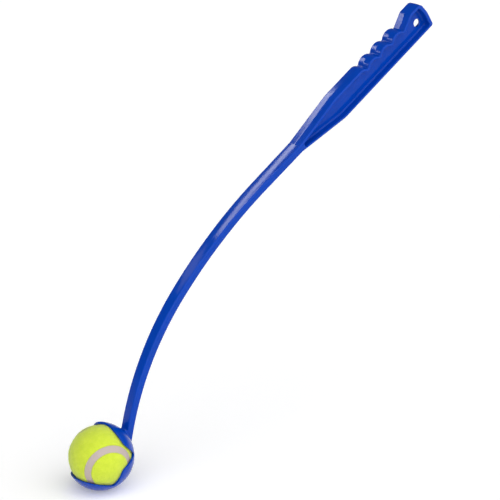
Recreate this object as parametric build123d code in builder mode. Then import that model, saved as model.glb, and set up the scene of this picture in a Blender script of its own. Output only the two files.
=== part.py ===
"""Dog ball thrower: a moulded plastic stick with a springy cup, and the tennis ball the cup holds.

Millimetres, +Z up. The stick lies in the XZ plane, leaning as it is held ready to throw, with the
fingers and the mouth of the cup on the -X side. The origin is the middle of the hanging hole.
"""
import os
from math import acos, cos, degrees, radians, sin, sqrt, tan

from build123d import *

os.makedirs("parts", exist_ok=True)

# Ball: a standard tennis ball of two rubber half shells and two dog-bone felt panels
ball_d = 65.0
felt_t = 3.0
core_wall = 3.3
seam_w = 7.4                    # width of the rubber line between the felt panels
seam_sink = 0.6                 # depth of that line below the felt
lobe_tilt = 6.0                 # lean of each seam lobe out of the ball's equator, degrees
seam_pole = Vector(0.381, 0.172, -0.909).normalized()
seam_lobe = Vector(-0.200, -0.944, -0.262).normalized()

# Cup: a spherical shell round the ball, cut away in front
ball_gap = 0.5                  # clearance between felt and cup
cup_wall = 2.5
rim_round = 0.5
root_fillet = 2.5               # where the shaft runs into the cup
root_inset = 5.5                # shaft's middle line inside the cup's outer face
foot_run = 6.6                  # from the end of the shaft down to the cup's outer face

# Rim of the cup in side view: forward of and above the ball's middle, and the radius of each bend
rim_over = 5.2                  # the cut starts and ends this far outside the cup
jaw_start_forward = -14.0
jaw_tip = (-8.3, 30.0)
jaw_tip_r = 4.0
jaw_bend = (-10.8, 19.5)
jaw_bend_r = 12.0
notch = (-26.0, 3.0)
notch_r = 2.0
cheek = (-4.5, -4.1)
cheek_r = 9.7
lip_root = (1.5, -22.9)
lip_root_r = 2.5
lip_end_up = -13.3

# Handle: H section, two rims joined by a web in the middle plane
handle_w = 18.2                 # side to side
web_t = 2.0
rim_t = 2.95
end_rim = 4.95                  # rim beyond the hanging hole
neck_solid = 6.0                # left solid between the recesses and the neck
floor_fillet = 2.2              # round the floor of each recess
recess_round = 0.4              # mouth of each recess and edges of the hole
edge_round = 1.5                # long outer edges of handle and shaft
draft = 3.0                     # slope of front and back away from the middle plane, degrees
ridge_round = 10.0              # along the handle's middle plane, where the two slopes meet
hole_d = 8.8
handle_lean = 32.7              # degrees above level
hole_to_end = 14.15
back_drop = 12.85               # back edge below the hole's middle
grip_rise = 16.75               # finger edge above the hole's middle
heel_rise = 20.95
heel_run = 7.5                  # top of the heel's slope, back from the hole
heel_r = 7.0
end_top_r = 6.0
end_bend_rise = 6.0             # the end leans back above this rise
end_bend_back = 3.5             # and by this much at the heel's rise
end_bend_r = 20.0
end_back_r = 3.5
recess_corner_r = 3.0           # corner of each recess below the hole
notch_rise = 11.55              # valleys between the finger bumps
notch_round = 1.2
bump_pitch = 20.7
bump_sag = 5.1
bump_count = 3
last_notch_run = 24.2           # valley nearest the heel, back from the hole
grip_start = 95.0               # where the straight front of the grip ends, back from the hole
flare_start = 138.5             # where the handle starts to narrow, back from the hole
flare_r = 40.0

# Shaft: one thickness, narrowing sideways from handle to cup, a straight and two bends
shaft_t = 8.95                  # in the middle plane
crown_round = 80.0              # along the shaft's middle plane, less where the edge rounds need room
stub_w = 11.8                   # side to side at the cup
hole_to_neck = 204.0
neck_rise = 2.95                # shaft's middle above the hole's middle, at the neck
neck_run = 60.3
upper_bend_r = 530.0
upper_bend_end = 48.5           # lean at the end of the upper bend, degrees
lower_bend_r = 300.0
cup_lean = 76.5                 # lean where the shaft reaches the cup, degrees

tiny = 0.001                    # points closer than this are the same point
over = 5.0                      # the handle is drawn this far past the neck, then cut there

# Worked out from the values above
ball_r = ball_d / 2
core_r = ball_r - felt_t
cup_in = ball_r + ball_gap
cup_out = cup_in + cup_wall
cup_reach = cup_out - root_inset
foot_front = cup_reach - shaft_t / 2
cup_drop = foot_run + sqrt(cup_out**2 - foot_front**2)
jaw_start = (jaw_start_forward, cup_out + rim_over)
lip_end = (cup_out + rim_over, lip_end_up)


def heading(lean):
    """Way up the stick in the XZ plane, as (X, Z), where it leans by this many degrees."""
    return Vector(cos(radians(lean)), sin(radians(lean)))


def across(lean):
    """Square to the heading, towards the fingers and the mouth of the cup."""
    return Vector(-sin(radians(lean)), cos(radians(lean)))


def in_middle(edge):
    """Whether an edge runs along the middle plane."""
    return all(abs((edge @ share).Y) < tiny for share in (0, 0.5, 1))


def upright(point):
    """A point of the stick's middle plane in space."""
    return Vector(point.X, 0, point.Y)


# Middle line of the stick, from the handle down
neck = across(handle_lean) * neck_rise - heading(handle_lean) * hole_to_neck
upper_start = neck - heading(handle_lean) * neck_run
upper_centre = upper_start - across(handle_lean) * upper_bend_r
lower_centre = upper_centre + across(upper_bend_end) * (upper_bend_r - lower_bend_r)
shaft_end = lower_centre + across(cup_lean) * lower_bend_r
ball_middle = shaft_end - heading(cup_lean) * cup_drop + across(cup_lean) * cup_reach

neck_plane = Plane(
    upright(neck), x_dir=upright(across(handle_lean)), z_dir=upright(heading(handle_lean))
)
handle_plane = Plane((0, 0, 0), x_dir=upright(heading(handle_lean)), z_dir=(0, -1, 0))
cup_plane = Plane(upright(ball_middle), x_dir=(-1, 0, 0), z_dir=(0, 1, 0))
stub_plane = Plane(
    upright(shaft_end), x_dir=upright(across(cup_lean)), z_dir=upright(heading(cup_lean))
)
ball_plane = Plane(
    upright(ball_middle), x_dir=seam_pole.cross(seam_lobe).cross(seam_pole), z_dir=seam_pole
)

# Handle
notches = [
    (-last_notch_run - bump_pitch * (bump_count - i), notch_rise) for i in range(bump_count + 1)
]
neck_front = neck_rise + shaft_t / 2
neck_back = neck_rise - shaft_t / 2
flare_share = over / (hole_to_neck - flare_start)
start_run = -hole_to_neck - over
start_front = neck_front - (grip_rise - neck_front) * flare_share
start_back = neck_back + (back_drop + neck_back) * flare_share


def handle_outline(end_run, corner_r):
    """Side view to this run past the hole, x up the handle and y to the fingers."""
    with BuildSketch() as face:
        with BuildLine():
            FilletPolyline(
                (start_run, start_front),
                (-flare_start, grip_rise),
                (-grip_start, grip_rise),
                radius=flare_r,
            )
            TangentArc((-grip_start, grip_rise), notches[0], tangent=(1, 0))
            for low, high in zip(notches, notches[1:]):
                SagittaArc(low, high, bump_sag)
            FilletPolyline(
                notches[-1],
                (-heel_run, heel_rise),
                (end_run - end_bend_back, heel_rise),
                (end_run, end_bend_rise),
                (end_run, -back_drop),
                (-flare_start, -back_drop),
                (start_run, start_back),
                radius=(heel_r, end_top_r, end_bend_r, corner_r, flare_r),
            )
            Line((start_run, start_back), (start_run, start_front))
        make_face()
        fillet([v for v in face.vertices() if abs(v.Y - notch_rise) < tiny], notch_round)
    return face.sketch


with BuildSketch() as recess_face:
    add(handle_outline(hole_to_end - end_rim + rim_t, recess_corner_r + rim_t))
    offset(amount=-rim_t, mode=Mode.REPLACE)
    split(bisect_by=Plane.YZ.offset(neck_solid - hole_to_neck), keep=Keep.TOP)

with BuildPart() as handle:
    with BuildSketch(handle_plane):
        add(handle_outline(hole_to_end, end_back_r))
    extrude(amount=handle_w / 2, both=True, taper=draft)
    split(bisect_by=neck_plane, keep=Keep.TOP)
    fillet(handle.edges().filter_by(in_middle), ridge_round)
    sides = handle.faces().filter_by(Plane.XZ)
    neck_face = handle.faces().sort_by(Axis((0, 0, 0), handle_plane.x_dir))[0]
    fillet([e for e in sides.edges() if e not in neck_face.edges()], edge_round)
    for side in (1, -1):
        with BuildSketch(handle_plane.offset(side * web_t / 2)):
            add(recess_face.sketch)
        extrude(amount=side * handle_w, mode=Mode.SUBTRACT)
        cut_faces = handle.faces(Select.LAST).filter_by(Plane.XZ)
        floor, rim = cut_faces.sort_by(lambda face: abs(face.center().Y))
        fillet(rim.inner_wires().edges(), recess_round)
        fillet(floor.edges(), floor_fillet)
    with BuildSketch(handle_plane):
        Circle(hole_d / 2)
    extrude(amount=web_t, both=True, mode=Mode.SUBTRACT)
    fillet(handle.edges(Select.LAST).filter_by(GeomType.CIRCLE), recess_round)
handle.part.label = "handle"
export_step(handle.part, "parts/handle.step")


def bend(centre, radius, low_lean, high_lean):
    """Arc of one bend of the shaft, between two leans."""
    leans = (low_lean, (low_lean + high_lean) / 2, high_lean)
    ThreePointArc(*[upright(centre + across(lean) * radius) for lean in leans])


def drafted_section(width):
    """Section of the stick, this wide and thickest in the middle plane, x to the fingers."""
    slope = tan(radians(draft))
    side_t = shaft_t - width * slope
    crown = min(crown_round, (width / 2 - 1.1 * edge_round) / slope)
    front = [(side_t / 2, -width / 2), (shaft_t / 2, 0), (side_t / 2, width / 2)]
    back = [(-x, -y) for x, y in front]
    with BuildSketch() as face:
        with BuildLine():
            Polyline(*front, *back, close=True)
        make_face()
        fillet([v for v in face.vertices() if abs(v.Y) < tiny], crown)
    return face.sketch


# Shaft: one section swept down the middle line, then narrowed in plan towards the cup
chord = shaft_end - neck
plan_plane = Plane(
    upright(neck), x_dir=upright(chord), z_dir=upright(Vector(-chord.Y, chord.X))
)
plan_over = 10.0                # the plan runs on past both ends of the shaft
plan_slope = (stub_w - handle_w) / 2 / chord.length
with BuildPart() as shaft:
    with BuildLine() as middle_line:
        Line(upright(neck), upright(upper_start))
        bend(upper_centre, upper_bend_r, handle_lean, upper_bend_end)
        bend(lower_centre, lower_bend_r, upper_bend_end, cup_lean)
    with BuildSketch(neck_plane):
        add(drafted_section(2 * handle_w))
    sweep(path=middle_line.wires()[0])
    with BuildSketch(plan_plane):
        wide = handle_w / 2 - plan_slope * plan_over
        slim = stub_w / 2 + plan_slope * plan_over
        far = chord.length + plan_over
        with BuildLine():
            Polyline((-plan_over, wide), (far, slim), (far, -slim), (-plan_over, -wide), close=True)
        make_face()
    extrude(amount=chord.length, both=True, mode=Mode.INTERSECT)
    long_edges = shaft.edges().filter_by(lambda e: e.length > neck_run / 2)
    fillet([e for e in long_edges if abs(e.center().Y) > stub_w / 4], edge_round)
shaft.part.label = "shaft"
export_step(shaft.part, "parts/shaft.step")

# Cup: shell and the foot of the shaft, with the front cut away in side view
with BuildPart() as ball_cup:
    with Locations(cup_plane.location):
        Sphere(cup_out)
    with BuildSketch(stub_plane) as stub_face:
        add(drafted_section(stub_w))
        fillet([v for v in stub_face.vertices() if abs(v.Y) > stub_w / 2 - tiny], edge_round)
    extrude(amount=-cup_drop)
    on_shell = [
        e for e in ball_cup.edges() if abs((e @ 0.5 - cup_plane.origin).length - cup_out) < tiny
    ]
    fillet([e for e in on_shell if (e @ 0.5).X > ball_middle.X], root_fillet)
    with Locations(cup_plane.location):
        Sphere(cup_in, mode=Mode.SUBTRACT)
    with BuildSketch(cup_plane):
        with BuildLine():
            FilletPolyline(
                jaw_start,
                jaw_tip,
                jaw_bend,
                notch,
                cheek,
                lip_root,
                lip_end,
                radius=(jaw_tip_r, jaw_bend_r, notch_r, cheek_r, lip_root_r),
            )
            Polyline(lip_end, (lip_end[0], jaw_start[1]), jaw_start)
        make_face()
    extrude(amount=cup_out, both=True, mode=Mode.SUBTRACT)
    fillet([e for e in ball_cup.edges(Select.LAST) if e.length > 1.5 * cup_wall], rim_round)
ball_cup.part.label = "ball_cup"
export_step(ball_cup.part, "parts/ball_cup.step")

# Seam: four bands round the ball, each turning about the middle of one lobe and meeting the next
seam_half = degrees(seam_w / 2 / ball_r)
lobe_r = degrees(acos(-sin(radians(lobe_tilt)) ** 2)) / 2
lobe_turn = 2 * degrees(acos(-sin(radians(lobe_tilt)) / (sqrt(2) * sin(radians(lobe_r)))))


def ball_direction(turn, tilt):
    """Way out from the ball's middle, at a turn round its seam pole and a tilt towards the pole."""
    flat = ball_plane.x_dir * cos(radians(turn)) + ball_plane.y_dir * sin(radians(turn))
    return flat * cos(radians(tilt)) + ball_plane.z_dir * sin(radians(tilt))


def polar(radius, angle):
    """Point of a band's section, at a radius and an angle from the lobe's middle."""
    return Vector(radius * cos(radians(angle)), radius * sin(radians(angle)))


def seam_ring(inner, outer):
    """The whole seam as a closed band between two radii."""
    with BuildPart() as ring:
        for turn in (0, 90, 180, 270):
            side = 1 if turn in (90, 270) else -1
            lobe = ball_direction(turn, side * lobe_tilt)
            joint = ball_direction(turn + side * 45, 0)
            section = Plane(ball_plane.origin, x_dir=lobe, z_dir=lobe.cross(joint))
            with BuildSketch(section):
                with BuildLine():
                    for radius in (inner, outer):
                        CenterArc((0, 0), radius, lobe_r - seam_half, 2 * seam_half)
                    for angle in (lobe_r - seam_half, lobe_r + seam_half):
                        Line(polar(inner, angle), polar(outer, angle))
                make_face()
            revolve(axis=Axis(ball_plane.origin, lobe), revolution_arc=lobe_turn)
    return ring.part


with BuildPart() as felt_seam:
    add(seam_ring(core_r, ball_r - seam_sink))
felt_seam.part.label = "felt_seam"
export_step(felt_seam.part, "parts/felt_seam.step")

# Felt: a shell that the seam parts into two panels
with BuildPart() as felt:
    with Locations(ball_plane.location):
        Sphere(ball_r)
        Sphere(core_r, mode=Mode.SUBTRACT)
    add(seam_ring(core_r - felt_t, ball_r + felt_t), mode=Mode.SUBTRACT)
panels = felt.solids().sort_by(Axis(ball_plane.origin, ball_plane.z_dir))

with BuildPart() as felt_panel_a:
    add(panels[-1])
felt_panel_a.part.label = "felt_panel_a"
export_step(felt_panel_a.part, "parts/felt_panel_a.step")

with BuildPart() as felt_panel_b:
    add(panels[0])
felt_panel_b.part.label = "felt_panel_b"
export_step(felt_panel_b.part, "parts/felt_panel_b.step")

# Core: two rubber half shells that meet on the ball's equator
with BuildPart() as core_half_a:
    with Locations(ball_plane.location):
        Sphere(core_r)
        Sphere(core_r - core_wall, mode=Mode.SUBTRACT)
    split(bisect_by=ball_plane, keep=Keep.TOP)
core_half_a.part.label = "core_half_a"
export_step(core_half_a.part, "parts/core_half_a.step")

with BuildPart() as core_half_b:
    with Locations(ball_plane.location):
        Sphere(core_r)
        Sphere(core_r - core_wall, mode=Mode.SUBTRACT)
    split(bisect_by=ball_plane, keep=Keep.BOTTOM)
core_half_b.part.label = "core_half_b"
export_step(core_half_b.part, "parts/core_half_b.step")
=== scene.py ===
"""Looks of a dog ball thrower: glossy moulded plastic, tennis ball felt and a soft white studio.

Metres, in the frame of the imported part. The stick lies in the XZ plane with +Z up.
"""

from math import acos, cos, pi, radians, sin

import bmesh
import bpy
from mathutils import Matrix, Vector, noise
from mathutils.bvhtree import BVHTree


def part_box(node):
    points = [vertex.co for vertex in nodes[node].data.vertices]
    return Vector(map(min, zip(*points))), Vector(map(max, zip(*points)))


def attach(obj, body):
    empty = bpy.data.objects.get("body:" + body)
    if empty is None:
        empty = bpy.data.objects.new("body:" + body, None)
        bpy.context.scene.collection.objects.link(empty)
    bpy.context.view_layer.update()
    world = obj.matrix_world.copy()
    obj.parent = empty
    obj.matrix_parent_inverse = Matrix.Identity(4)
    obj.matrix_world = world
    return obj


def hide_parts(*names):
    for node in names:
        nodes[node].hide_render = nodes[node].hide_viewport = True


bl_info = {
    "name": "Dog ball thrower",
    "version": (1, 0, 0),
    "blender": (4, 5, 0),
    "location": "View3D > Sidebar > Thrower",
    "description": "Finishes a packed ball thrower with plastic, felt and rubber, and lights it",
    "category": "Object",
}

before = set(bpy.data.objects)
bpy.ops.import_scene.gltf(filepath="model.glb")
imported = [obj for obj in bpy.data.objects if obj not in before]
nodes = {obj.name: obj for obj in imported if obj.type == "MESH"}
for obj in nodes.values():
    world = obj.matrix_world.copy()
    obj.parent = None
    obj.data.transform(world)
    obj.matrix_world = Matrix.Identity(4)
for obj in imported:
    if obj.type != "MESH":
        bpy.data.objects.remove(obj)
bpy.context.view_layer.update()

MM = 0.001


def srgb(code):
    """Linear colour of an sRGB hex value."""
    parts = [int(code[i : i + 2], 16) / 255 for i in (0, 2, 4)]
    return tuple(c / 12.92 if c <= 0.04045 else ((c + 0.055) / 1.055) ** 2.4 for c in parts)


def span(*names):
    """Lowest and highest corner of several CAD nodes together."""
    boxes = [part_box(name) for name in names]
    low = Vector(min(box[0][i] for box in boxes) for i in range(3))
    high = Vector(max(box[1][i] for box in boxes) for i in range(3))
    return low, high


core_low, core_high = span("core_half_a", "core_half_b")
ball_low, ball_high = span("felt_panel_a", "felt_panel_b")
ball_middle = (core_low + core_high) / 2
core_radius = (core_high - core_low).z / 2
ball_radius = (ball_high - ball_low).y / 2
floor_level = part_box("ball_cup")[0].z


class PlasticSettings(bpy.types.PropertyGroup):
    colour: bpy.props.FloatVectorProperty(
        name="Plastic", description="Main blue of the moulding",
        subtype="COLOR", size=3, min=0, max=1, default=srgb("0042B6"),
    )
    streak: bpy.props.FloatVectorProperty(
        name="Streaks", description="Deeper blue of the flow streaks",
        subtype="COLOR", size=3, min=0, max=1, default=srgb("003CA4"),
    )
    streak_size: bpy.props.FloatProperty(
        name="Streak size", description="Width of the clouding left by the melt",
        unit="LENGTH", default=0.022,
    )
    ripple_size: bpy.props.FloatProperty(
        name="Ripple size", description="Wavelength of the faint unevenness of the gloss",
        unit="LENGTH", default=0.009,
    )
    ripple_depth: bpy.props.FloatProperty(
        name="Ripple depth", description="Height of that unevenness",
        unit="LENGTH", default=0.00002,
    )


class BallSettings(bpy.types.PropertyGroup):
    felt: bpy.props.FloatVectorProperty(
        name="Felt", description="Main yellow of the felt",
        subtype="COLOR", size=3, min=0, max=1, default=srgb("D4E440"),
    )
    # painted shade and mottle: the felt leans to this darker, greener colour in the bump's hollows and in
    # random patches
    felt_mottle_and_shade: bpy.props.FloatVectorProperty(
        name="Felt hollows", description="Greener colour down between the fibres",
        subtype="COLOR", size=3, min=0, max=1, default=srgb("C5DA34"),
    )
    rubber: bpy.props.FloatVectorProperty(
        name="Seam", description="Grey rubber between the felt panels",
        subtype="COLOR", size=3, min=0, max=1, default=srgb("C3B4AE"),
    )
    seam_width: bpy.props.FloatProperty(
        name="Seam width", description="Width of the rubber line", unit="LENGTH", default=0.0074,
    )
    lobe_tilt: bpy.props.FloatProperty(
        name="Lobe tilt", description="Lean of each seam lobe out of the ball's equator",
        subtype="ANGLE", default=radians(6),
    )
    seam_pole: bpy.props.FloatVectorProperty(
        name="Seam pole", description="Way the middle of the first panel faces",
        subtype="DIRECTION", size=3, default=(0.381, 0.172, -0.909),
    )
    seam_lobe: bpy.props.FloatVectorProperty(
        name="Seam lobe", description="Way the first lobe of the seam faces",
        subtype="DIRECTION", size=3, default=(-0.200, -0.944, -0.262),
    )
    edge_width: bpy.props.FloatProperty(
        name="Felt edge", description="Width over which the felt rolls down to the seam",
        unit="LENGTH", default=0.0016,
    )
    edge_drop: bpy.props.FloatProperty(
        name="Felt edge drop", description="How far the felt rolls down at the seam",
        unit="LENGTH", default=0.0009,
    )
    mat_depth: bpy.props.FloatProperty(
        name="Matting", description="Unevenness of the felt", unit="LENGTH", default=0.00014,
    )
    mat_size: bpy.props.FloatProperty(
        name="Matting size", description="Width of the lumps in the felt",
        unit="LENGTH", default=0.004,
    )
    fibre_length: bpy.props.FloatProperty(
        name="Fibre length", description="Length of the loose fibres", unit="LENGTH", default=0.0019,
    )
    fibre_width: bpy.props.FloatProperty(
        name="Fibre width", description="Width of a fibre at its root, drawn coarse enough to show",
        unit="LENGTH", default=0.00011,
    )
    fibre_density: bpy.props.FloatProperty(
        name="Fibre density", description="Fibres to a square metre", default=800000,
    )
    fibre_seed: bpy.props.IntProperty(name="Fibre seed", description="Seed of the fibres", default=4)
    least_lean: bpy.props.FloatProperty(
        name="Least lean", description="Lean of the most upright fibres",
        subtype="ANGLE", default=radians(35),
    )
    most_lean: bpy.props.FloatProperty(
        name="Most lean", description="Lean of the flattest fibres",
        subtype="ANGLE", default=radians(80),
    )


class StageSettings(bpy.types.PropertyGroup):
    azimuth: bpy.props.FloatProperty(
        name="Azimuth", description="Camera's turn from the -Y side towards -X",
        subtype="ANGLE", default=radians(40),
    )
    elevation: bpy.props.FloatProperty(
        name="Elevation", description="Camera's height above level",
        subtype="ANGLE", default=radians(20),
    )
    distance: bpy.props.FloatProperty(
        name="Distance", description="Camera to the point that it looks at",
        unit="LENGTH", default=2.2,
    )
    frame_width: bpy.props.FloatProperty(
        name="Frame width", description="Width of the picture at that point",
        unit="LENGTH", default=0.5288,
    )
    target: bpy.props.FloatVectorProperty(
        name="Target", description="Point that the camera looks at, from the ball's middle",
        subtype="TRANSLATION", size=3, default=(0.2013, 0.0, 0.1785),
    )
    sky_way: bpy.props.FloatVectorProperty(
        name="Sky", description="Way to the middle of the broad soft light",
        subtype="DIRECTION", size=3, default=(-0.2, -0.88, 0.42),
    )
    sky_bright: bpy.props.FloatProperty(
        name="Sky brightness", description="Broad light over the camera", default=1.95, min=0,
    )
    sky_dim: bpy.props.FloatProperty(
        name="Far brightness", description="Unlit room behind the object", default=0.15, min=0,
    )
    box_place: bpy.props.FloatVectorProperty(
        name="Softbox", description="Middle of the small light behind, from the ball's middle",
        subtype="TRANSLATION", size=3, default=(0.18, 0.3, 0.554),
    )
    box_size: bpy.props.FloatVectorProperty(
        name="Softbox size", description="Width and height of the small light",
        unit="LENGTH", size=2, default=(0.33, 0.05),
    )
    box_bright: bpy.props.FloatProperty(
        name="Softbox brightness", description="Brightness of its face", default=10.5, min=0,
    )
    box_roll: bpy.props.FloatProperty(
        name="Softbox roll", description="Turn of the small light about the way it faces",
        subtype="ANGLE", default=radians(-10.5),
    )
    fill_place: bpy.props.FloatVectorProperty(
        name="Fill box", description="Middle of the dimmer light beside it, from the ball's middle",
        subtype="TRANSLATION", size=3, default=(-0.132, 0.5, 0.587),
    )
    fill_size: bpy.props.FloatVectorProperty(
        name="Fill box size", description="Width and height of the dimmer light",
        unit="LENGTH", size=2, default=(0.16, 0.12),
    )
    fill_bright: bpy.props.FloatProperty(
        name="Fill box brightness", description="Brightness of its face", default=2.0, min=0,
    )
    paper_lift: bpy.props.FloatProperty(
        name="Paper lift", description="What the floor shows above its own lit colour",
        default=0.21, min=0, max=1,
    )
    floor: bpy.props.FloatVectorProperty(
        name="Floor", description="Colour of the floor",
        subtype="COLOR", size=3, min=0, max=1, default=srgb("FAFAFA"),
    )


# Sockets that share a name are given by number. On a Mix node 6 and 7 are its two colours and output 2
# is the mixed one. On a Random Value node 2 and 3 are the least and the most, and output 1 is the number.
def node(tree, kind, links=None, **settings):
    """Add a node, set it up, and give its inputs their values or link them to outputs."""
    made = tree.nodes.new(kind)
    for name, value in settings.items():
        setattr(made, name, value)
    for socket, value in (links or {}).items():
        if isinstance(value, bpy.types.NodeSocket):
            tree.links.new(value, made.inputs[socket])
        else:
            made.inputs[socket].default_value = value
    return made


def new_material(name):
    """An empty node material and the object coordinates in it."""
    material = bpy.data.materials.new(name)
    material.use_nodes = True
    tree = material.node_tree
    tree.nodes.clear()
    place = node(tree, "ShaderNodeTexCoord").outputs["Object"]
    return material, tree, place


def opaque(colour):
    """A colour with full alpha, as a colour socket takes it."""
    return (*colour, 1.0)


def polypropylene(settings):
    """Injection-moulded polypropylene: deep even colour, faint flow clouding and a soft wavy gloss."""
    material, tree, place = new_material("moulded_polypropylene")
    cloud = node(tree, "ShaderNodeTexNoise", {
        "Vector": place, "Scale": 1 / settings.streak_size, "Detail": 3.0, "Distortion": 0.8,
    })
    colour = node(tree, "ShaderNodeMix", {
        "Factor": cloud.outputs["Fac"],
        6: opaque(settings.streak),
        7: opaque(settings.colour),
    }, data_type="RGBA")
    gloss = node(tree, "ShaderNodeMapRange", {
        "Value": cloud.outputs["Fac"],
        "From Min": 0.3, "From Max": 0.7, "To Min": 0.1, "To Max": 0.14,
    })
    ripple = node(tree, "ShaderNodeTexNoise", {
        "Vector": place, "Scale": 1 / settings.ripple_size, "Detail": 1.0,
    })
    bump = node(tree, "ShaderNodeBump", {
        "Height": ripple.outputs["Fac"], "Strength": 1.0, "Distance": settings.ripple_depth,
    })
    shader = node(tree, "ShaderNodeBsdfPrincipled", {
        "Base Color": colour.outputs[2],
        "Roughness": gloss.outputs[0],
        "IOR": 1.49,
        "Specular IOR Level": 0.16,
        "Normal": bump.outputs[0],
    })
    node(tree, "ShaderNodeOutputMaterial", {"Surface": shader.outputs[0]})
    return material


def ball_felt(settings):
    """Needled wool and nylon felt: matt, mottled, a pale nap, and painted shade that turns it greener and
    darker down between the fibres.
    """
    mottle_size = 5 * MM
    # single strands are too fine to show, so they are drawn as coarse as tufts
    strand_size = 0.7 * MM
    strand_depth = 0.25 * MM
    material, tree, place = new_material("needled_felt")
    mottle = node(tree, "ShaderNodeTexNoise", {
        "Vector": place, "Scale": 1 / mottle_size, "Detail": 4.0, "Roughness": 0.6,
    })
    strand = node(tree, "ShaderNodeTexNoise", {
        "Vector": place, "Scale": 1 / strand_size, "Detail": 3.0, "Distortion": 1.5,
    })
    depth = node(tree, "ShaderNodeMath", {
        0: mottle.outputs["Fac"], 1: strand.outputs["Fac"],
    }, operation="ADD")
    share = node(tree, "ShaderNodeMapRange", {
        "Value": depth.outputs[0],
        "From Min": 0.75, "From Max": 1.25, "To Min": 0.0, "To Max": 1.0,
    })
    # painted shade: the strands' low parts, which the bump also sinks, take the darker colour, mixed with
    # random mottling
    colour = node(tree, "ShaderNodeMix", {
        "Factor": share.outputs[0],
        6: opaque(settings.felt_mottle_and_shade),
        7: opaque(settings.felt),
    }, data_type="RGBA")
    bump = node(tree, "ShaderNodeBump", {
        "Height": strand.outputs["Fac"], "Strength": 0.6, "Distance": strand_depth,
    })
    shader = node(tree, "ShaderNodeBsdfPrincipled", {
        "Base Color": colour.outputs[2],
        "Roughness": 0.95,
        "IOR": 1.5,
        "Specular IOR Level": 0.2,
        "Sheen Weight": 0.4,
        "Sheen Roughness": 0.5,
        "Normal": bump.outputs[0],
    })
    node(tree, "ShaderNodeOutputMaterial", {"Surface": shader.outputs[0]})
    return material


def seam_rubber(settings):
    """Vulcanised seam compound: matt, slightly chalky grey with fine filler specks."""
    # the specks are drawn coarse enough to show
    speck_size = 0.8 * MM
    speck_depth = 0.1 * MM
    dark_rubber = tuple(0.8 * c for c in settings.rubber)
    material, tree, place = new_material("vulcanised_seam_rubber")
    speck = node(tree, "ShaderNodeTexNoise", {
        "Vector": place, "Scale": 1 / speck_size, "Detail": 3.0,
    })
    colour = node(tree, "ShaderNodeMix", {
        "Factor": speck.outputs["Fac"],
        6: opaque(dark_rubber),
        7: opaque(settings.rubber),
    }, data_type="RGBA")
    bump = node(tree, "ShaderNodeBump", {
        "Height": speck.outputs["Fac"], "Strength": 0.5, "Distance": speck_depth,
    })
    shader = node(tree, "ShaderNodeBsdfPrincipled", {
        "Base Color": colour.outputs[2],
        "Roughness": 0.8,
        "IOR": 1.52,
        "Normal": bump.outputs[0],
    })
    node(tree, "ShaderNodeOutputMaterial", {"Surface": shader.outputs[0]})
    return material


def core_rubber():
    """Moulded black rubber core: dull, with a faint talc bloom."""
    bloom_size = 6 * MM
    material, tree, place = new_material("moulded_core_rubber")
    bloom = node(tree, "ShaderNodeTexNoise", {
        "Vector": place, "Scale": 1 / bloom_size, "Detail": 4.0,
    })
    colour = node(tree, "ShaderNodeMix", {
        "Factor": bloom.outputs["Fac"],
        6: opaque(srgb("262626")),
        7: opaque(srgb("4A4A48")),
    }, data_type="RGBA")
    shader = node(tree, "ShaderNodeBsdfPrincipled", {
        "Base Color": colour.outputs[2],
        "Roughness": 0.7,
        "IOR": 1.52,
    })
    node(tree, "ShaderNodeOutputMaterial", {"Surface": shader.outputs[0]})
    return material


def white_paper(settings):
    """Matt white paper: a faint grain, and a little brighter to the camera and in gloss than it is lit."""
    # the grain is drawn coarse enough to show
    grain_size = 2 * MM
    dark_floor = tuple(0.98 * c for c in settings.floor)
    material, tree, place = new_material("white_paper")
    grain = node(tree, "ShaderNodeTexNoise", {"Vector": place, "Scale": 1 / grain_size})
    colour = node(tree, "ShaderNodeMix", {
        "Factor": grain.outputs["Fac"],
        6: opaque(dark_floor),
        7: opaque(settings.floor),
    }, data_type="RGBA")
    paper = node(tree, "ShaderNodeBsdfDiffuse", {"Color": colour.outputs[2]})
    ray = node(tree, "ShaderNodeLightPath").outputs
    shown = ray["Is Camera Ray"]
    for other in ("Is Glossy Ray", "Is Transmission Ray"):
        shown = node(tree, "ShaderNodeMath", {
            0: shown, 1: ray[other],
        }, operation="MAXIMUM").outputs[0]
    lift = node(tree, "ShaderNodeMath", {
        0: shown, 1: settings.paper_lift,
    }, operation="MULTIPLY")
    glow = node(tree, "ShaderNodeEmission", {"Strength": lift.outputs[0]})
    shader = node(tree, "ShaderNodeAddShader", {0: paper.outputs[0], 1: glow.outputs[0]})
    node(tree, "ShaderNodeOutputMaterial", {"Surface": shader.outputs[0]})
    return material


def finish_node(name, material):
    """Give a CAD node its finish."""
    mesh = nodes[name].data
    mesh.materials.clear()
    mesh.materials.append(material)


def new_object(name, mesh):
    """A mesh object at the origin, in the scene."""
    made = bpy.data.objects.new(name, mesh)
    bpy.context.scene.collection.objects.link(made)
    return made


def grow(obj, tree, values):
    """Run a node tree on an object with named inputs, and leave its result as a plain mesh."""
    modifier = obj.modifiers.new(tree.name, "NODES")
    modifier.node_group = tree
    for item in tree.interface.items_tree:
        if item.in_out == "INPUT" and item.name in values:
            modifier[item.identifier] = values[item.name]
    graph = bpy.context.evaluated_depsgraph_get()
    mesh = bpy.data.meshes.new_from_object(obj.evaluated_get(graph), depsgraph=graph)
    obj.modifiers.remove(modifier)
    obj.data = mesh
    return obj


def new_tree(name, inputs):
    """A geometry node tree with a mesh in and out, and the named inputs."""
    tree = bpy.data.node_groups.new(name, "GeometryNodeTree")
    tree.interface.new_socket(name="Geometry", in_out="OUTPUT", socket_type="NodeSocketGeometry")
    tree.interface.new_socket(name="Geometry", in_out="INPUT", socket_type="NodeSocketGeometry")
    for label, kind in inputs.items():
        tree.interface.new_socket(name=label, in_out="INPUT", socket_type=kind)
    return tree, node(tree, "NodeGroupInput").outputs


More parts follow.
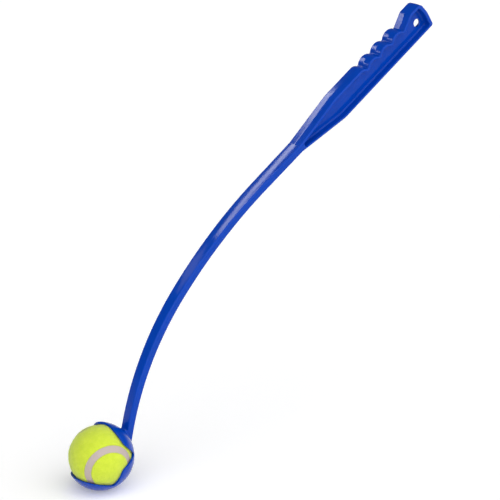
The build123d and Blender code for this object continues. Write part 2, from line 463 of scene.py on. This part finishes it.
def ray_target(name):
    """A CAD node's shape to test with rays, from a merged copy of its loose triangles."""
    same_point = 0.001 * MM
    shape = bmesh.new()
    shape.from_mesh(nodes[name].data)
    bmesh.ops.remove_doubles(shape, verts=shape.verts, dist=same_point)
    target = BVHTree.FromBMesh(shape)
    shape.free()
    return target


class THROWER_OT_moulding(bpy.types.Operator):
    """Finish the handle, shaft and cup in glossy plastic"""

    bl_idname = "thrower.moulding"
    bl_label = "Moulding"

    def execute(self, context):
        plastic = polypropylene(context.scene.thrower_plastic)
        for name in ("handle", "shaft", "ball_cup"):
            finish_node(name, plastic)
        return {"FINISHED"}


class THROWER_OT_ball_rubber(bpy.types.Operator):
    """Finish the ball's seam and its hidden core"""

    bl_idname = "thrower.ball_rubber"
    bl_label = "Ball rubber"

    def execute(self, context):
        finish_node("felt_seam", seam_rubber(context.scene.thrower_ball))
        core = core_rubber()
        for name in ("core_half_a", "core_half_b"):
            finish_node(name, core)
        return {"FINISHED"}


def fibre_shape(settings):
    """One felt fibre: a thin three-sided tube that bends over and comes to a point."""
    rings = 4
    sides = 3
    narrowing = 0.6
    tip_sway = 0.35 * settings.fibre_length
    shape = bmesh.new()
    rows = []
    for ring in range(rings):
        along = ring / rings
        lift = settings.fibre_length * along
        sway = tip_sway * along * along
        radius = settings.fibre_width / 2 * (1 - narrowing * along)
        rows.append([
            shape.verts.new((
                radius * cos(2 * pi * side / sides) + sway,
                radius * sin(2 * pi * side / sides),
                lift,
            ))
            for side in range(sides)
        ])
    tip = shape.verts.new((tip_sway, 0, settings.fibre_length))
    for low, high in zip(rows, rows[1:]):
        for side in range(sides):
            after = (side + 1) % sides
            shape.faces.new((low[side], low[after], high[after], high[side]))
    for side in range(sides):
        shape.faces.new((rows[-1][side], rows[-1][(side + 1) % sides], tip))
    shape.faces.new(rows[0][::-1])
    mesh = bpy.data.meshes.new("fibre")
    shape.to_mesh(mesh)
    shape.free()
    return new_object("fibre", mesh)


def fibre_tree():
    """Scatter leaning fibres over a felt panel, where its open_air attribute lets them stand."""
    turn_seed = 11
    size_seed = 23
    shortest = 0.55
    tree, given = new_tree("felt_fibres", {
        "Fibre": "NodeSocketObject",
        "Density": "NodeSocketFloat",
        "Seed": "NodeSocketInt",
        "Least lean": "NodeSocketFloat",
        "Most lean": "NodeSocketFloat",
        "Felt": "NodeSocketMaterial",
    })
    bare = node(tree, "GeometryNodeInputNamedAttribute", {"Name": "open_air"}, data_type="FLOAT")
    density = node(tree, "ShaderNodeMath", {
        0: bare.outputs["Attribute"], 1: given["Density"],
    }, operation="MULTIPLY")
    points = node(tree, "GeometryNodeDistributePointsOnFaces", {
        "Mesh": given["Geometry"], "Density": density.outputs[0], "Seed": given["Seed"],
    })
    lean = node(tree, "FunctionNodeRandomValue", {
        2: given["Least lean"], 3: given["Most lean"], "Seed": given["Seed"],
    }, data_type="FLOAT")
    turn = node(tree, "FunctionNodeRandomValue", {
        2: 0.0, 3: 2 * pi, "Seed": turn_seed,
    }, data_type="FLOAT")
    size = node(tree, "FunctionNodeRandomValue", {
        2: shortest, 3: 1.0, "Seed": size_seed,
    }, data_type="FLOAT")
    angles = node(tree, "ShaderNodeCombineXYZ", {"X": lean.outputs[1], "Z": turn.outputs[1]})
    spin = node(tree, "FunctionNodeEulerToRotation", {"Euler": angles.outputs[0]})
    stand = node(tree, "FunctionNodeRotateRotation", {
        "Rotation": points.outputs["Rotation"], "Rotate By": spin.outputs[0],
    }, rotation_space="LOCAL")
    fibre = node(tree, "GeometryNodeObjectInfo", {"Object": given["Fibre"]})
    nap = node(tree, "GeometryNodeInstanceOnPoints", {
        "Points": points.outputs["Points"],
        "Instance": fibre.outputs["Geometry"],
        "Rotation": stand.outputs[0],
        "Scale": size.outputs[1],
    })
    both = node(tree, "GeometryNodeJoinGeometry")
    tree.links.new(given["Geometry"], both.inputs[0])
    tree.links.new(nap.outputs[0], both.inputs[0])
    real = node(tree, "GeometryNodeRealizeInstances", {"Geometry": both.outputs[0]})
    felt = node(tree, "GeometryNodeSetMaterial", {
        "Geometry": real.outputs[0], "Material": given["Felt"],
    })
    node(tree, "NodeGroupOutput", {"Geometry": felt.outputs[0]})
    return tree


class Seam:
    """Where the ball's seam runs: four arcs, each round the middle of one lobe."""

    def __init__(self, settings):
        pole = Vector(settings.seam_pole).normalized()
        lobe = Vector(settings.seam_lobe)
        across = (lobe - lobe.dot(pole) * pole).normalized()
        beside = pole.cross(across)
        tilt = settings.lobe_tilt
        self.pole = pole
        # half the angle between neighbouring lobes, so that their arcs meet
        self.lobe_angle = acos(-sin(tilt) ** 2) / 2
        self.half = settings.seam_width / 2 / ball_radius
        self.low_lobes = [side * across * cos(tilt) - pole * sin(tilt) for side in (1, -1)]
        self.high_lobes = [side * beside * cos(tilt) + pole * sin(tilt) for side in (1, -1)]

    def inside_first(self, way):
        """Angle from the seam's middle into the first panel, below zero in the second."""
        if way.dot(self.pole) < 0:
            return self.lobe_angle - min(way.angle(lobe) for lobe in self.low_lobes)
        return min(way.angle(lobe) for lobe in self.high_lobes) - self.lobe_angle


def felt_panel(name, seam, side, settings):
    """One dog-bone felt panel: a thick closed sheet, rolled down at the seam and a little uneven."""
    cut_reach = 0.01 * MM
    merge_reach = 0.02 * MM
    glue_gap = 0.4 * MM
    lump_falloff = 0.8
    lump_step = 2.0
    lump_layers = 3
    shape = bmesh.new()
    bmesh.ops.create_icosphere(shape, subdivisions=7, radius=ball_radius)
    for lobe in seam.low_lobes + seam.high_lobes:
        for angle in (seam.lobe_angle - seam.half, seam.lobe_angle + seam.half):
            bmesh.ops.bisect_plane(
                shape,
                geom=shape.verts[:] + shape.edges[:] + shape.faces[:],
                dist=cut_reach,
                plane_co=lobe * ball_radius * cos(angle),
                plane_no=lobe,
            )
    bmesh.ops.remove_doubles(shape, verts=shape.verts, dist=merge_reach)
    away = [
        face for face in shape.faces
        if side * seam.inside_first(face.calc_center_median().normalized()) < seam.half
    ]
    bmesh.ops.delete(shape, geom=away, context="FACES")
    for vert in shape.verts:
        way = vert.co.normalized()
        edge = (abs(seam.inside_first(way)) - seam.half) * ball_radius
        roll = max(0.0, 1 - max(0.0, edge) / settings.edge_width)
        drop = settings.edge_drop * (1 - (1 - roll * roll) ** 0.5)
        spot = way * ball_radius / settings.mat_size
        lumps = noise.fractal(spot, lump_falloff, lump_step, lump_layers)
        vert.co = way * (ball_radius - drop + settings.mat_depth * lumps)
    bmesh.ops.recalc_face_normals(shape, faces=shape.faces)
    bmesh.ops.solidify(shape, geom=shape.faces[:], thickness=ball_radius - core_radius - glue_gap)
    mesh = bpy.data.meshes.new(name)
    shape.to_mesh(mesh)
    shape.free()
    return mesh


def mark_open_air(mesh, cup):
    """Mark the outer face of a felt panel, still round the origin, where the cup isn't over it or near."""
    face_depth = 1.2 * MM
    lean = 0.06
    turns = 6
    air = mesh.attributes.new("open_air", "FLOAT", "POINT")
    for vert, value in zip(mesh.vertices, air.data):
        way = vert.co.normalized()
        on_top = vert.co.length > ball_radius - face_depth
        tests = [way]
        for turn in range(turns):
            aside = way.orthogonal()
            aside.rotate(Matrix.Rotation(turn * 2 * pi / turns, 3, way))
            tests.append((way + lean * aside).normalized())
        covered = any(cup.ray_cast(ball_middle, test)[0] for test in tests)
        value.value = 1.0 if on_top and not covered else 0.0


class THROWER_OT_felt(bpy.types.Operator):
    """Cover the ball with two felt panels and their loose fibres"""

    bl_idname = "thrower.felt"
    bl_label = "Felt panels"

    def execute(self, context):
        settings = context.scene.thrower_ball
        seam = Seam(settings)
        felt = ball_felt(settings)
        cup = ray_target("ball_cup")
        fibre = fibre_shape(settings)
        tree = fibre_tree()
        for name, side, cad_node in (("felt_a", 1, "felt_panel_a"), ("felt_b", -1, "felt_panel_b")):
            mesh = felt_panel(name, seam, side, settings)
            mark_open_air(mesh, cup)
            mesh.transform(Matrix.Translation(ball_middle))
            panel = new_object(name, mesh)
            for polygon in mesh.polygons:
                polygon.use_smooth = True
            grow(panel, tree, {
                "Fibre": fibre,
                "Density": settings.fibre_density,
                "Seed": settings.fibre_seed,
                "Least lean": settings.least_lean,
                "Most lean": settings.most_lean,
                "Felt": felt,
            })
            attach(panel, "ball")
            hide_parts(cad_node)
        bpy.data.objects.remove(fibre)
        return {"FINISHED"}


def softbox(name, place, size, bright, target):
    """A light that shows only as a glint, placed from the ball's middle and facing the target."""
    light = bpy.data.lights.new(name, "AREA")
    light.shape = "RECTANGLE"
    light.size, light.size_y = size
    # watts that give its face that brightness
    light.energy = bright * pi * light.size * light.size_y
    lamp = bpy.data.objects.new(name, light)
    bpy.context.scene.collection.objects.link(lamp)
    lamp.location = ball_middle + Vector(place)
    lamp.rotation_euler = (lamp.location - target).to_track_quat("Z", "Y").to_euler()
    lamp.visible_camera = False
    lamp.visible_diffuse = False
    return lamp


def lay_floor(settings):
    """A broad floor of white paper under the cup."""
    reach = 20
    shape = bmesh.new()
    bmesh.ops.create_grid(shape, x_segments=8, y_segments=8, size=reach)
    mesh = bpy.data.meshes.new("floor")
    shape.to_mesh(mesh)
    shape.free()
    floor = new_object("floor", mesh)
    floor.location.z = floor_level
    mesh.materials.append(white_paper(settings))


def studio_sky(settings):
    """Soft light from one broad side, dim behind the object, with a white sweep along the horizon."""
    full_light = 0.6
    sweep_top = 0.2
    world = bpy.data.worlds.new("white_studio")
    world.use_nodes = True
    tree = world.node_tree
    tree.nodes.clear()
    way = node(tree, "ShaderNodeTexCoord").outputs["Generated"]
    facing = node(tree, "ShaderNodeVectorMath", {
        0: way, 1: Vector(settings.sky_way).normalized(),
    }, operation="DOT_PRODUCT")
    sky = node(tree, "ShaderNodeMapRange", {
        "Value": facing.outputs["Value"],
        "From Min": 0.0, "From Max": full_light,
        "To Min": settings.sky_dim, "To Max": settings.sky_bright,
    }, interpolation_type="SMOOTHSTEP")
    height = node(tree, "ShaderNodeSeparateXYZ", {0: way}).outputs["Z"]
    sweep = node(tree, "ShaderNodeMapRange", {
        "Value": height, "From Min": 0.0, "From Max": sweep_top, "To Min": 1.0, "To Max": 0.0,
    })
    strength = node(tree, "ShaderNodeMath", {
        0: sky.outputs[0], 1: sweep.outputs[0],
    }, operation="MAXIMUM")
    light = node(tree, "ShaderNodeBackground", {"Strength": strength.outputs[0]})
    node(tree, "ShaderNodeOutputWorld", {"Surface": light.outputs[0]})
    return world


def place_camera(settings, target):
    """The camera, looking at the target from the set way and distance."""
    azimuth, elevation = settings.azimuth, settings.elevation
    towards = Vector((
        -sin(azimuth) * cos(elevation),
        -cos(azimuth) * cos(elevation),
        sin(elevation),
    ))
    camera = bpy.data.objects.new("camera", bpy.data.cameras.new("camera"))
    bpy.context.scene.collection.objects.link(camera)
    camera.location = target + settings.distance * towards
    camera.rotation_euler = (-towards).to_track_quat("-Z", "Y").to_euler()
    camera.data.sensor_width = 36
    camera.data.lens = camera.data.sensor_width * settings.distance / settings.frame_width
    camera.data.clip_end = 100
    return camera


class THROWER_OT_stage(bpy.types.Operator):
    """Set up the floor, the lights and the camera"""

    bl_idname = "thrower.stage"
    bl_label = "Stage"

    def execute(self, context):
        scene = context.scene
        settings = scene.thrower_stage
        target = ball_middle + Vector(settings.target)
        lay_floor(settings)
        scene.world = studio_sky(settings)
        scene.camera = place_camera(settings, target)
        box = softbox("softbox", settings.box_place, settings.box_size, settings.box_bright, target)
        box.rotation_euler.rotate_axis("Z", settings.box_roll)
        softbox("fill_box", settings.fill_place, settings.fill_size, settings.fill_bright, target)
        scene.view_settings.view_transform = "Standard"
        return {"FINISHED"}


class THROWER_PT_panel(bpy.types.Panel):
    """The steps that finish the thrower, in order, and their settings"""

    bl_label = "Ball thrower"
    bl_idname = "THROWER_PT_panel"
    bl_space_type = "VIEW_3D"
    bl_region_type = "UI"
    bl_category = "Thrower"

    def draw(self, context):
        for step in steps:
            self.layout.operator(step.bl_idname)
        for name, group in groups.items():
            box = self.layout.box()
            for setting in group.__annotations__:
                box.prop(getattr(context.scene, name), setting)


groups = {
    "thrower_plastic": PlasticSettings,
    "thrower_ball": BallSettings,
    "thrower_stage": StageSettings,
}
steps = (
    THROWER_OT_moulding,
    THROWER_OT_ball_rubber,
    THROWER_OT_felt,
    THROWER_OT_stage,
)


def register():
    for name, group in groups.items():
        bpy.utils.register_class(group)
        setattr(bpy.types.Scene, name, bpy.props.PointerProperty(type=group))
    for shown in (*steps, THROWER_PT_panel):
        bpy.utils.register_class(shown)


def unregister():
    for shown in (THROWER_PT_panel, *reversed(steps)):
        bpy.utils.unregister_class(shown)
    for name, group in groups.items():
        delattr(bpy.types.Scene, name)
        bpy.utils.unregister_class(group)


def main():
    register()
    bpy.ops.thrower.moulding()
    bpy.ops.thrower.ball_rubber()
    bpy.ops.thrower.felt()
    bpy.ops.thrower.stage()


if __name__ == "__main__":
    main()
